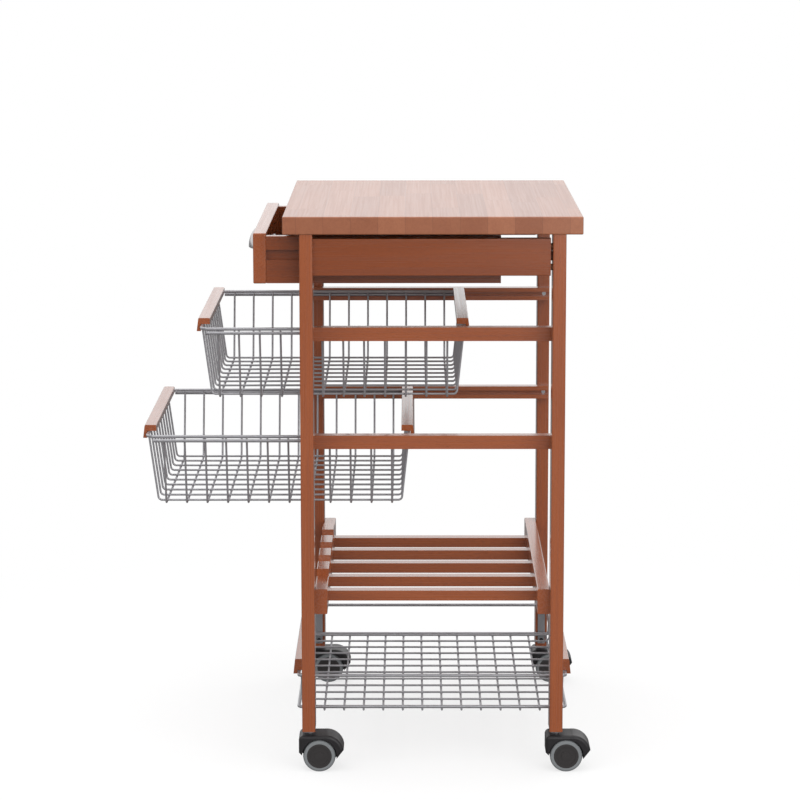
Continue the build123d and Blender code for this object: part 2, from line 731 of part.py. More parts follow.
def hood_face():
    """Side view of the hood: nose, roof, round tail and a keel between the wheels."""
    nose = CASTER_TRAIL - well_radius - HOOD_NOSE_WALL
    tail = CASTER_TRAIL + well_radius + HOOD_TAIL_WALL
    skirt = wheel_radius + HOOD_TAIL_LIFT
    nose_low = wheel_radius + HOOD_NOSE_LIFT
    keel = wheel_radius - HOOD_KEEL_DROP
    shoulder = CASTER_TRAIL + HOOD_SHOULDER
    nose_top = (nose, hood_top - HOOD_NOSE_ROUND)
    roof_start = (nose + HOOD_NOSE_ROUND, hood_top)
    corner = math.sqrt(0.5)
    nose_middle = (nose + HOOD_NOSE_ROUND * (1 - corner), hood_top - HOOD_NOSE_ROUND * (1 - corner))
    tail_middle = (shoulder + (tail - shoulder) * corner, skirt + (hood_top - skirt) * corner)
    lower = Polyline((tail, skirt), (tail - HOOD_TAIL_CUT, keel + HOOD_TAIL_CORNER_LIFT),
                     (CASTER_TRAIL + HOOD_KEEL_HALF, keel), (CASTER_TRAIL - HOOD_KEEL_HALF, keel),
                     (nose + HOOD_NOSE_CUT, nose_low - HOOD_NOSE_CUT), (nose, nose_low), nose_top)
    nose_arc = ThreePointArc(nose_top, nose_middle, roof_start)
    roof = Line(roof_start, (shoulder, hood_top))
    tail_arc = ThreePointArc((shoulder, hood_top), tail_middle, (tail, skirt))
    return make_face(lower.edges() + nose_arc.edges() + roof.edges() + tail_arc.edges())


def caster_hood():
    """Hood with a web in the middle and an open well for a wheel on each side of it."""
    shell = extrude(Plane.YZ * hood_face(), hood_half, both=True)
    rims = shell.edges().filter_by(lambda edge: abs(abs(edge.center().X) - hood_half) < HOOD_EDGE_ROUND / 2)
    shell = fillet(rims, HOOD_EDGE_ROUND)
    for side in SIDES.values():
        start = (side * web_half, CASTER_TRAIL, wheel_radius)
        shell -= rod(start, (side * HOOD_WIDTH, CASTER_TRAIL, wheel_radius), well_radius)
    hole_low = hood_top - STEM_IN_HOOD - STEM_END_ROOM
    shell -= rod((0, 0, hole_low), (0, 0, hood_top), stem_radius + STEM_FIT)
    ends = [(side * HOOD_WEB, CASTER_TRAIL, wheel_radius) for side in (-1, 1)]
    return shell - rod(ends[0], ends[1], axle_radius + AXLE_FIT)


def caster_axle():
    ends = [(side * axle_half, CASTER_TRAIL, wheel_radius) for side in (-1, 1)]
    return rod(ends[0], ends[1], axle_radius)


def wheel_disc(side, x_from, x_to, radius):
    """Disc on the axle's line, from one distance from the web to another."""
    start = (side * x_from, CASTER_TRAIL, wheel_radius)
    return rod(start, (side * x_to, CASTER_TRAIL, wheel_radius), radius)


def caster_hubs():
    """Two wheel discs, each with a blind bore for the axle and a dished outer face."""
    hubs = []
    for side in SIDES.values():
        hub = wheel_disc(side, wheel_in, wheel_out, tyre_bore - TYRE_FIT)
        hub -= wheel_disc(side, wheel_in, axle_half + HUB_FIT, axle_radius + HUB_FIT)
        dish = wheel_disc(side, wheel_out - HUB_DISH_DEPTH, wheel_out, HUB_DISH_OUTER)
        dish -= wheel_disc(side, wheel_out - HUB_DISH_DEPTH, wheel_out, HUB_DISH_INNER)
        hubs.append(hub - dish)
    return group(hubs)


def caster_tyres():
    tyres = []
    for side in SIDES.values():
        disc = Part() + wheel_disc(side, wheel_in, wheel_out, wheel_radius)
        disc = fillet(disc.edges().filter_by(GeomType.CIRCLE), TYRE_ROUND)
        tyres.append(disc - wheel_disc(side, wheel_in, wheel_out, tyre_bore))
    return group(tyres)


# Every node of the part
def frame_nodes():
    nodes = {"worktop": worktop(), "frame_dowels": frame_dowels(), "rail_screws": rail_screws()}
    rear_leg = leg()
    for end, shape in (("front", reversed_end(rear_leg)), ("rear", rear_leg)):
        nodes[f"leg_{end}_right"] = shape
        nodes[f"leg_{end}_left"] = mirrored(shape)
    right_pieces = {
        "apron": apron(),
        "upper_rail": rail(upper_rail_z),
        "lower_rail": rail(lower_rail_z),
        "drawer_runner": runner(),
    }
    for name, shape in right_pieces.items():
        nodes[f"{name}_right"] = shape
        nodes[f"{name}_left"] = mirrored(shape)
    nodes["rack_front_bar"] = rack_front_bar()
    nodes["rack_rear_bar"] = rack_bar()
    nodes["rack_slats"] = group([slat(x) for x in slat_places()])
    nodes["hangers"] = group(four_corners(hanger()))
    nodes["hanger_bolts"] = group(four_corners(hanger_bolt()))
    return nodes


def drawer_nodes():
    side = drawer_side()
    closed = {
        "drawer_front": drawer_front(),
        "drawer_pull": drawer_pull(),
        "drawer_side_right": side,
        "drawer_side_left": mirrored(side),
        "drawer_back": drawer_back(),
        "drawer_bottom": drawer_bottom(),
        "pull_screws": pull_screws(),
    }
    return {name: Pos(0, -DRAWER_REST, 0) * shape for name, shape in closed.items()}


def pull_out_nodes(name, rail_z, rest):
    z = rail_z + skid_lift
    bar_sizes = (z + RIM_RISE, bar_half, BAR_HEIGHT, BAR_LIP_DROP, BAR_INNER_REACH)
    closed = {
        "rim": basket_rim(z),
        "cross_wires": basket_cross_wires(z),
        "long_wires": basket_long_wires(z),
        "front_bar": reversed_end(lipped_bar(-rim_front, *bar_sizes)),
        "rear_bar": lipped_bar(rim_rear, *bar_sizes),
    }
    return {f"{name}_{piece}": Pos(0, -rest, 0) * shape for piece, shape in closed.items()}


def bottom_basket_nodes():
    rear_bar = lipped_bar(
        bottom_rim_y,
        BOTTOM_RIM_HEIGHT,
        bottom_bar_half,
        BOTTOM_BAR_HEIGHT,
        BOTTOM_BAR_LIP_DROP,
        BOTTOM_BAR_INNER_REACH,
    )
    return {
        "bottom_basket_rim": bottom_basket_rim(),
        "bottom_basket_long_wires": bottom_basket_long_wires(),
        "bottom_basket_cross_wires": bottom_basket_cross_wires(),
        "bottom_basket_front_bar": reversed_end(rear_bar),
        "bottom_basket_rear_bar": rear_bar,
    }


def caster_nodes():
    nodes = {}
    stems = []
    pieces = {
        "caster_hood": caster_hood(),
        "caster_axle": caster_axle(),
        "caster_hubs": caster_hubs(),
        "caster_tyres": caster_tyres(),
    }
    for end, end_sign in ENDS.items():
        for side, side_sign in SIDES.items():
            place = Pos(side_sign * leg_x, end_sign * leg_y, 0)
            stems.append(place * caster_stem())
            for name, shape in pieces.items():
                nodes[f"{name}_{end}_{side}"] = place * shape
    nodes["caster_stems"] = group(stems)
    return nodes


def all_nodes():
    nodes = frame_nodes()
    nodes.update(drawer_nodes())
    nodes.update(pull_out_nodes("upper_basket", upper_rail_z, UPPER_BASKET_REST))
    nodes.update(pull_out_nodes("middle_basket", lower_rail_z, MIDDLE_BASKET_REST))
    nodes.update(bottom_basket_nodes())
    nodes.update(caster_nodes())
    return nodes


os.makedirs("parts", exist_ok=True)
for node, shape in all_nodes().items():
    export_step(shape, f"parts/{node}.step")
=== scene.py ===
"""Looks of a wooden kitchen cart with wire baskets, a drawer, a bottle rack and four casters."""

import math

import bpy
from bpy.props import FloatProperty, FloatVectorProperty, IntProperty, PointerProperty
from bpy.types import Operator, Panel, PropertyGroup
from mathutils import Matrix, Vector


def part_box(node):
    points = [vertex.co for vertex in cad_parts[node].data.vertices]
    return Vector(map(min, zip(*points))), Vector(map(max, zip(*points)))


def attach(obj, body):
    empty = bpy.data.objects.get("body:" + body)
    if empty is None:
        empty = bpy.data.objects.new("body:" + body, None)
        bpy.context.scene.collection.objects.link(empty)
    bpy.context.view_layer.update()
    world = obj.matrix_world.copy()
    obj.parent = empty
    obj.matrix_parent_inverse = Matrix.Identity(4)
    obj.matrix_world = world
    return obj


bl_info = {
    "name": "Kitchen cart",
    "version": (1, 0, 0),
    "blender": (4, 5, 0),
    "location": "3D View > Sidebar > Cart",
    "description": "Finishes and small details of a wooden kitchen cart",
    "category": "Object",
}

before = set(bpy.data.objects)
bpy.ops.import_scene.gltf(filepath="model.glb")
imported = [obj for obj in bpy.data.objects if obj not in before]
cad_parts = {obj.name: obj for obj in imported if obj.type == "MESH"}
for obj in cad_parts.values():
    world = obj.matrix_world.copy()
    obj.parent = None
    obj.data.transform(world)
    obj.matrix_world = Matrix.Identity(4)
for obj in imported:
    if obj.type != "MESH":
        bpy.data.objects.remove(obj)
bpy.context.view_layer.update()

CORNERS = ("front_right", "front_left", "rear_right", "rear_left")
SIDES = ("right", "left")
WHITE = (1.0, 1.0, 1.0, 1.0)

# Places of the colour sockets on a mix node
MIX_SHARE = 0
MIX_FIRST = 6
MIX_SECOND = 7
MIX_RESULT = 2

# Wood patterns, in repeats per metre along the grain and twice across it
BROAD_TONE = (3.0, 30.0, 30.0)
GROWTH_LINES = (3.5, 260.0, 260.0)
FIBRES = (55.0, 1400.0, 1400.0)
FLECKS = (190.0, 1700.0, 1700.0)
LACQUER_WAVES = (90.0, 90.0, 90.0)
LACQUER_SMUDGES = (9.0, 9.0, 9.0)

# Wood and lacquer
TONE_SPREAD = 0.44
PLAIN_TONE = 0.5
FLECK_SHARE = 0.4
FLECK_SHADE = (0.42, 0.36, 0.34, 1.0)
STAVE_SHIFT = (3.0, 3.0, 3.0)
SEAM_SHARE = 0.55
SEAM_SHADE = 0.3
COAT_ROUGHNESS = 0.17
COAT_IOR = 1.5
GRAIN_UNDER_LACQUER = 0.35
WOOD_BUMP_STRENGTH = 0.12
WOOD_BUMP_DEPTH = 0.0004

# Metal, plastic and rubber
SPECKLE_SHADE = (0.55, 0.55, 0.56, 1.0)
SPECKLE_SHARE = 0.6
CLOUD_GRAIN = 22.0
SPECKLE_BUMP_DEPTH = 0.0002

# Weld beads: least and greatest turn in radians, and least and greatest share of their size
BEAD_SEGMENTS = 10
BEAD_RINGS = 6
BEAD_TURN = ((-0.2, -0.2, 0.0), (0.2, 0.2, 3.1))
BEAD_SPREAD = ((0.85, 0.85, 0.9), (1.15, 1.15, 1.1))

# Stage: the floor as the cart's light meets it and as the picture shows it, and the lamps
FLOOR_LIT = (0.2, 0.2, 0.2, 1.0)
FLOOR_SEEN = (0.93, 0.93, 0.93, 1.0)
SENSOR_WIDTH = 36.0
CLIP_END = 200.0
LAMPS = (
    {"name": "key", "place": (3.2, -2.6, 2.6), "aim": (0.0, 0.0, 0.45), "size": 3.6, "watts": 46.0},
    {"name": "fill", "place": (3.8, 1.8, 2.0), "aim": (0.0, 0.0, 0.4), "size": 3.6, "watts": 98.0},
    {"name": "top", "place": (0.0, 0.0, 3.2), "aim": (0.0, 0.0, 0.0), "size": 3.2, "watts": 45.0},
)


def srgb(red, green, blue):
    """Linear colour of a picture's colour, whose parts go from 0 to 255."""
    parts = []
    for value in (red, green, blue):
        share = value / 255
        parts.append(share / 12.92 if share <= 0.04045 else ((share + 0.055) / 1.055) ** 2.4)
    return tuple(parts)


# Sizes and colours that a user would change
class CartFinish(PropertyGroup):
    """Colours of the wood, wire, plastic and rubber."""

    worktop_light: FloatVectorProperty(
        name="Worktop, light", description="Palest staves of the worktop",
        subtype="COLOR", min=0.0, max=1.0, default=srgb(169, 104, 70))
    worktop_dark: FloatVectorProperty(
        name="Worktop, dark", description="Darkest staves of the worktop",
        subtype="COLOR", min=0.0, max=1.0, default=srgb(150, 87, 55))
    wood_light: FloatVectorProperty(
        name="Frame, light", description="Pale grain of the stained frame",
        subtype="COLOR", min=0.0, max=1.0, default=srgb(167, 90, 49))
    wood_dark: FloatVectorProperty(
        name="Frame, dark", description="Dark grain of the stained frame",
        subtype="COLOR", min=0.0, max=1.0, default=srgb(147, 75, 38))
    # Aprons and drawer sides: the frame's wood made darker, as painted shade for their place under the
    # worktop
    shaded_apron_light: FloatVectorProperty(
        name="Apron, light", description="Pale grain of the aprons and the drawer's sides",
        subtype="COLOR", min=0.0, max=1.0, default=srgb(146, 73, 32))
    shaded_apron_dark: FloatVectorProperty(
        name="Apron, dark", description="Dark grain of the aprons and the drawer's sides",
        subtype="COLOR", min=0.0, max=1.0, default=srgb(129, 61, 24))
    base_light: FloatVectorProperty(
        name="Drawer base, light", description="Thin board in the drawer's bottom",
        subtype="COLOR", min=0.0, max=1.0, default=srgb(196, 150, 112))
    base_dark: FloatVectorProperty(
        name="Drawer base, dark", description="Grain of the drawer's bottom",
        subtype="COLOR", min=0.0, max=1.0, default=srgb(176, 128, 92))
    dowel_light: FloatVectorProperty(
        name="Dowels, light", description="Raw wood of the dowels",
        subtype="COLOR", min=0.0, max=1.0, default=srgb(150, 104, 74))
    dowel_dark: FloatVectorProperty(
        name="Dowels, dark", description="Grain of the dowels",
        subtype="COLOR", min=0.0, max=1.0, default=srgb(112, 72, 48))
    wire: FloatVectorProperty(
        name="Basket wire", description="Satin silver coat of the baskets",
        subtype="COLOR", min=0.0, max=1.0, default=srgb(184, 183, 187))
    steel: FloatVectorProperty(
        name="Plated steel", description="Screws, hooks, stems and axles",
        subtype="COLOR", min=0.0, max=1.0, default=srgb(194, 194, 197))
    nickel: FloatVectorProperty(
        name="Drawer pull", description="Satin nickel of the drawer's pull",
        subtype="COLOR", min=0.0, max=1.0, default=srgb(206, 202, 203))
    bolt: FloatVectorProperty(
        name="Hook bolts", description="Blackened steel of the hooks' bolts",
        subtype="COLOR", min=0.0, max=1.0, default=srgb(58, 56, 58))
    hood: FloatVectorProperty(
        name="Caster hoods", description="Black moulded plastic of the hoods",
        subtype="COLOR", min=0.0, max=1.0, default=srgb(38, 36, 38))
    hub: FloatVectorProperty(
        name="Wheel discs", description="Black moulded plastic of the wheel discs",
        subtype="COLOR", min=0.0, max=1.0, default=srgb(24, 21, 21))
    tyre: FloatVectorProperty(
        name="Tyres", description="Grey rubber of the tyres",
        subtype="COLOR", min=0.0, max=1.0, default=srgb(116, 122, 126))
    stave_width: FloatProperty(
        name="Stave width", description="Width of one stave of the worktop",
        subtype="DISTANCE", min=0.01, default=0.041)
    stave_length: FloatProperty(
        name="Stave length", description="Length of one stave of the worktop",
        subtype="DISTANCE", min=0.05, default=0.36)


class CartWire(PropertyGroup):
    """Welds of the wire baskets."""

    diameter: FloatProperty(
        name="Wire", description="Diameter of the baskets' thin wire",
        subtype="DISTANCE", min=0.001, default=0.0032)
    rim_diameter: FloatProperty(
        name="Rim wire", description="Diameter of the rims and skids",
        subtype="DISTANCE", min=0.001, default=0.005)
    weld_width: FloatProperty(
        name="Weld width", description="Width of the bead where two wires cross",
        subtype="DISTANCE", min=0.0005, default=0.0040)
    weld_height: FloatProperty(
        name="Weld height", description="Height of the bead where two wires cross",
        subtype="DISTANCE", min=0.0005, default=0.0022)
    pull_out_long_wires: IntProperty(
        name="Long wires", description="Wires from front to rear in a pull-out basket",
        min=2, default=10)
    pull_out_cross_wires: IntProperty(
        name="Cross wires", description="Wires from side to side in a pull-out basket",
        min=2, default=12)
    bottom_long_wires: IntProperty(
        name="Bottom long wires", description="Wires from front to rear in the bottom basket",
        min=2, default=12)
    bottom_cross_wires: IntProperty(
        name="Bottom cross wires", description="Wires from side to side in the bottom basket",
        min=2, default=14)


class CartStage(PropertyGroup):
    """Camera, floor and light."""

    camera_place: FloatVectorProperty(
        name="Camera", description="Place of the camera",
        subtype="TRANSLATION", unit="LENGTH", default=(4.45105, -0.0328, 1.33051))
    camera_turn: FloatVectorProperty(
        name="Camera turn", description="Rotation of the camera",
        subtype="EULER", unit="ROTATION",
        default=(math.radians(80.8234), math.radians(0.0627), math.radians(90.2134)))
    lens: FloatProperty(
        name="Lens", description="Focal length on a 36 mm sensor, in millimetres", min=10.0, default=126.704)
    rise: FloatProperty(
        name="Rise", description="Vertical shift of the picture", default=-0.06)
    floor_reach: FloatProperty(
        name="Floor", description="Half of the floor's width", subtype="DISTANCE", min=2.0, default=30.0)
    daylight: FloatProperty(
        name="Soft light", description="Strength of the light from all round", min=0.0, default=0.88)
    lamp_power: FloatProperty(
        name="Lamps", description="Share of the lamps' full power", min=0.0, default=0.8)


# Node trees
def put(tree, kind, inputs=None, **settings):
    """New node with its settings, and with each named input set or linked."""
    made = tree.nodes.new(kind)
    for name, value in settings.items():
        setattr(made, name, value)
    for key, value in (inputs or {}).items():
        if isinstance(value, bpy.types.NodeSocket):
            tree.links.new(value, made.inputs[key])
        else:
            made.inputs[key].default_value = value
    return made


def new_group(name, kind, inputs, outputs):
    """Node group with named sockets. Returns the tree and its input and output nodes."""
    tree = bpy.data.node_groups.new(name, kind)
    for label, socket_kind, default in inputs:
        socket = tree.interface.new_socket(label, in_out="INPUT", socket_type=socket_kind)
        if default is not None:
            socket.default_value = default
    for label, socket_kind in outputs:
        tree.interface.new_socket(label, in_out="OUTPUT", socket_type=socket_kind)
    return tree, put(tree, "NodeGroupInput"), put(tree, "NodeGroupOutput")


def give(tree, end, **values):
    """Links sockets to a group's outputs, with underscores for the spaces in their names."""
    for label, socket in values.items():
        tree.links.new(socket, end.inputs[label.replace("_", " ")])


def math_node(tree, operation, first, second=0.0, third=0.0, clamp=False):
    """Result of a sum on numbers or sockets."""
    made = put(tree, "ShaderNodeMath", {0: first, 1: second, 2: third}, operation=operation, use_clamp=clamp)
    return made.outputs["Value"]


def remap(tree, value, low, high, to_low=0.0, to_high=1.0):
    """Value from one range to another, eased at both ends."""
    made = put(tree, "ShaderNodeMapRange", {
        "Value": value, "From Min": low, "From Max": high, "To Min": to_low, "To Max": to_high,
    }, interpolation_type="SMOOTHSTEP")
    return made.outputs["Result"]


def stretched_noise(tree, vector, scale, detail=2.0, roughness=0.5, distortion=0.0):
    """Noise drawn out along one direction, by a scale for each axis."""
    placed = put(tree, "ShaderNodeMapping", {"Vector": vector, "Scale": scale})
    made = put(tree, "ShaderNodeTexNoise", {
        "Vector": placed.outputs["Vector"], "Scale": 1.0, "Detail": detail,
        "Roughness": roughness, "Distortion": distortion,
    })
    return made.outputs["Fac"]


def mix_colour(tree, share, first, second, blend="MIX"):
    """Mix of two colours, with a share of the second."""
    inputs = {MIX_SHARE: share, MIX_FIRST: first, MIX_SECOND: second}
    made = put(tree, "ShaderNodeMix", inputs, data_type="RGBA", blend_type=blend, clamp_result=True)
    return made.outputs[MIX_RESULT]


def beech_grain_group():
    """Grain along X: broad tone, growth lines, and the short dark flecks of beech."""
    tree, start, end = new_group("Beech grain", "ShaderNodeTree", [
        ("Vector", "NodeSocketVector", None),
        ("Light", "NodeSocketColor", None),
        ("Dark", "NodeSocketColor", None),
        ("Tone", "NodeSocketFloat", 0.5),
        ("Fleck", "NodeSocketFloat", 0.5),
        ("Roughness", "NodeSocketFloat", 0.4),
    ], [
        ("Color", "NodeSocketColor"),
        ("Roughness", "NodeSocketFloat"),
        ("Height", "NodeSocketFloat"),
    ])
    vector = start.outputs["Vector"]
    broad = stretched_noise(tree, vector, BROAD_TONE, detail=3.0, roughness=0.55, distortion=0.7)
    lines = stretched_noise(tree, vector, GROWTH_LINES, detail=3.0, roughness=0.6, distortion=0.35)
    fibre = stretched_noise(tree, vector, FIBRES)
    fleck_noise = stretched_noise(tree, vector, FLECKS, detail=1.0)
    fleck = math_node(tree, "MULTIPLY", remap(tree, fleck_noise, 0.60, 0.72), start.outputs["Fleck"])
    spread = remap(tree, broad, 0.28, 0.72)
    tone = math_node(tree, "MULTIPLY_ADD", spread, TONE_SPREAD, -TONE_SPREAD / 2)
    tone = math_node(tree, "ADD", tone, start.outputs["Tone"], clamp=True)
    colour = mix_colour(tree, tone, start.outputs["Light"], start.outputs["Dark"])
    line_share = remap(tree, lines, 0.35, 0.70, 0.0, 0.14)
    colour = mix_colour(tree, line_share, colour, start.outputs["Dark"], "MULTIPLY")
    fibre_share = remap(tree, fibre, 0.3, 0.7, 0.0, 0.14)
    colour = mix_colour(tree, fibre_share, colour, start.outputs["Dark"])
    shade = mix_colour(tree, 1.0, start.outputs["Dark"], FLECK_SHADE, "MULTIPLY")
    colour = mix_colour(tree, fleck, colour, shade)
    rough = math_node(tree, "ADD", start.outputs["Roughness"], remap(tree, lines, 0.3, 0.7, -0.05, 0.06))
    height = math_node(tree, "SUBTRACT", remap(tree, fibre, 0.25, 0.75, 0.0, 0.5), fleck)
    give(tree, end, Color=colour, Roughness=rough, Height=height)
    return tree


def stave_group():
    """Staves along X, side by side along Y. Each has its own tone, length and stretch of grain."""
    tree, start, end = new_group("Glued staves", "ShaderNodeTree", [
        ("Vector", "NodeSocketVector", None),
        ("Stave Width", "NodeSocketFloat", 0.04),
        ("Stave Length", "NodeSocketFloat", 0.3),
    ], [
        ("Vector", "NodeSocketVector"),
        ("Tone", "NodeSocketFloat"),
        ("Seam", "NodeSocketFloat"),
    ])
    width = start.outputs["Stave Width"]
    length = start.outputs["Stave Length"]
    parts = put(tree, "ShaderNodeSeparateXYZ", {0: start.outputs["Vector"]})
    across = math_node(tree, "DIVIDE", parts.outputs["Y"], width)
    row = math_node(tree, "FLOOR", across)
    row_noise = put(tree, "ShaderNodeTexWhiteNoise", {"W": row}, noise_dimensions="1D").outputs["Value"]
    along = math_node(tree, "ADD", math_node(tree, "DIVIDE", parts.outputs["X"], length), row_noise)
    block = math_node(tree, "FLOOR", along)
    key = put(tree, "ShaderNodeCombineXYZ", {"X": row, "Y": block, "Z": 0.37})
    stave = put(tree, "ShaderNodeTexWhiteNoise", {"Vector": key.outputs[0]}, noise_dimensions="3D")
    moved = put(tree, "ShaderNodeVectorMath", {
        0: stave.outputs["Color"], 1: STAVE_SHIFT, 2: start.outputs["Vector"],
    }, operation="MULTIPLY_ADD")
    edge = math_node(tree, "ABSOLUTE", math_node(tree, "SUBTRACT", math_node(tree, "FRACT", across), 0.5))
    side_seam = remap(tree, edge, 0.490, 0.498)
    tip = math_node(tree, "ABSOLUTE", math_node(tree, "SUBTRACT", math_node(tree, "FRACT", along), 0.5))
    tip_seam = remap(tree, tip, 0.4985, 0.4996)
    seam = math_node(tree, "MAXIMUM", side_seam, tip_seam)
    give(tree, end, Vector=moved.outputs["Vector"], Tone=stave.outputs["Value"], Seam=seam)
    return tree


def lacquer_group():
    """Slow waves in a brushed lacquer: a height and a share of coat."""
    tree, start, end = new_group("Lacquer film", "ShaderNodeTree", [
        ("Vector", "NodeSocketVector", None),
        ("Height", "NodeSocketFloat", 0.0),
        ("Film", "NodeSocketFloat", 1.0),
    ], [
        ("Height", "NodeSocketFloat"),
        ("Coat", "NodeSocketFloat"),
    ])
    waves = stretched_noise(tree, start.outputs["Vector"], LACQUER_WAVES)
    smudge = stretched_noise(tree, start.outputs["Vector"], LACQUER_SMUDGES, detail=3.0, roughness=0.6)
    height = math_node(tree, "MULTIPLY_ADD", start.outputs["Height"], GRAIN_UNDER_LACQUER, waves)
    coat = math_node(tree, "MULTIPLY", start.outputs["Film"], remap(tree, smudge, 0.2, 0.8, 0.92, 1.0))
    give(tree, end, Height=height, Coat=coat)
    return tree


def fine_speckle_group():
    """Fine even speckle of a moulded, sprayed or plated face."""
    tree, start, end = new_group("Fine speckle", "ShaderNodeTree", [
        ("Vector", "NodeSocketVector", None),
        ("Color", "NodeSocketColor", None),
        ("Grain", "NodeSocketFloat", 900.0),
        ("Depth", "NodeSocketFloat", 0.15),
        ("Roughness", "NodeSocketFloat", 0.4),
    ], [
        ("Color", "NodeSocketColor"),
        ("Roughness", "NodeSocketFloat"),
        ("Height", "NodeSocketFloat"),
    ])
    noise = put(tree, "ShaderNodeTexNoise", {
        "Vector": start.outputs["Vector"], "Scale": start.outputs["Grain"], "Detail": 2.0,
    }).outputs["Fac"]
    cloud = put(tree, "ShaderNodeTexNoise", {
        "Vector": start.outputs["Vector"], "Scale": CLOUD_GRAIN, "Detail": 3.0,
    }).outputs["Fac"]
    clouded = math_node(tree, "MULTIPLY", cloud, 1.0 - SPECKLE_SHARE)
    both = math_node(tree, "ADD", math_node(tree, "MULTIPLY", noise, SPECKLE_SHARE), clouded)
    share = math_node(tree, "MULTIPLY", remap(tree, both, 0.3, 0.7), start.outputs["Depth"])
    shade = mix_colour(tree, 1.0, start.outputs["Color"], SPECKLE_SHADE, "MULTIPLY")
    colour = mix_colour(tree, share, start.outputs["Color"], shade)
    rough = math_node(tree, "ADD", start.outputs["Roughness"], remap(tree, both, 0.3, 0.7, -0.06, 0.08))
    give(tree, end, Color=colour, Roughness=rough, Height=noise)
    return tree


def new_material(name):
    """Material with one Principled shader. Returns it, its tree, the shader and object coordinates."""
    material = bpy.data.materials.new(name)
    material.use_nodes = True
    tree = material.node_tree
    shader = tree.nodes["Principled BSDF"]
    place = put(tree, "ShaderNodeTexCoord").outputs["Object"]
    return material, tree, shader, place


def group_node(tree, group, inputs):
    """New node that holds a group."""
    return put(tree, "ShaderNodeGroup", inputs, node_tree=group)


def colour4(colour):
    """Opaque colour with four parts."""
    return (*colour, 1.0)


def bump(tree, shader, height, strength, distance):
    """Turns a height into the shader's normal."""
    made = put(tree, "ShaderNodeBump", {"Height": height, "Strength": strength, "Distance": distance})
    tree.links.new(made.outputs["Normal"], shader.inputs["Normal"])


# Rotation that lays the grain along an axis
GRAIN_TURN = {
    "X": (0.0, 0.0, 0.0),
    "Y": (0.0, 0.0, math.radians(-90.0)),
    "Z": (0.0, math.radians(90.0), 0.0),
}


def beech_material(name, groups, light, dark, along="X", film=1.0, roughness=0.27, staves=None):
    """Beech with its grain along one axis, plain or glued from staves, under a film of lacquer."""
    material, tree, shader, place = new_material(name)
    turned = put(tree, "ShaderNodeMapping", {"Vector": place, "Rotation": GRAIN_TURN[along]})
    vector = turned.outputs["Vector"]
    inputs = {
        "Light": colour4(light), "Dark": colour4(dark), "Tone": PLAIN_TONE, "Fleck": FLECK_SHARE,
        "Roughness": roughness,
    }
    seam = None
    if staves:
        width, length = staves
        layout = group_node(tree, groups["staves"], {
            "Vector": vector, "Stave Width": width, "Stave Length": length,
        })
        vector = layout.outputs["Vector"]
        inputs["Tone"] = layout.outputs["Tone"]
        seam = layout.outputs["Seam"]
    inputs["Vector"] = vector
    grain = group_node(tree, groups["grain"], inputs)
    colour = grain.outputs["Color"]
    height = grain.outputs["Height"]
    if seam is not None:
        glue = colour4([part * SEAM_SHADE for part in dark])
        colour = mix_colour(tree, math_node(tree, "MULTIPLY", seam, SEAM_SHARE), colour, glue)
        height = math_node(tree, "SUBTRACT", height, seam)
    lacquer = group_node(tree, groups["lacquer"], {"Vector": place, "Height": height, "Film": film})
    tree.links.new(colour, shader.inputs["Base Color"])
    tree.links.new(grain.outputs["Roughness"], shader.inputs["Roughness"])
    tree.links.new(lacquer.outputs["Coat"], shader.inputs["Coat Weight"])
    shader.inputs["Coat Roughness"].default_value = COAT_ROUGHNESS
    shader.inputs["Coat IOR"].default_value = COAT_IOR
    bump(tree, shader, lacquer.outputs["Height"], WOOD_BUMP_STRENGTH, WOOD_BUMP_DEPTH)
    return material


def speckle_material(name, groups, colour, metallic, roughness, grain, depth, strength, specular=0.5):
    """Moulded, sprayed or plated face."""
    material, tree, shader, place = new_material(name)
    made = group_node(tree, groups["speckle"], {
        "Vector": place, "Color": colour4(colour), "Grain": grain, "Depth": depth, "Roughness": roughness,
    })
    tree.links.new(made.outputs["Color"], shader.inputs["Base Color"])
    tree.links.new(made.outputs["Roughness"], shader.inputs["Roughness"])
    shader.inputs["Metallic"].default_value = metallic
    shader.inputs["Specular IOR Level"].default_value = specular
    bump(tree, shader, made.outputs["Height"], strength, SPECKLE_BUMP_DEPTH)
    return material


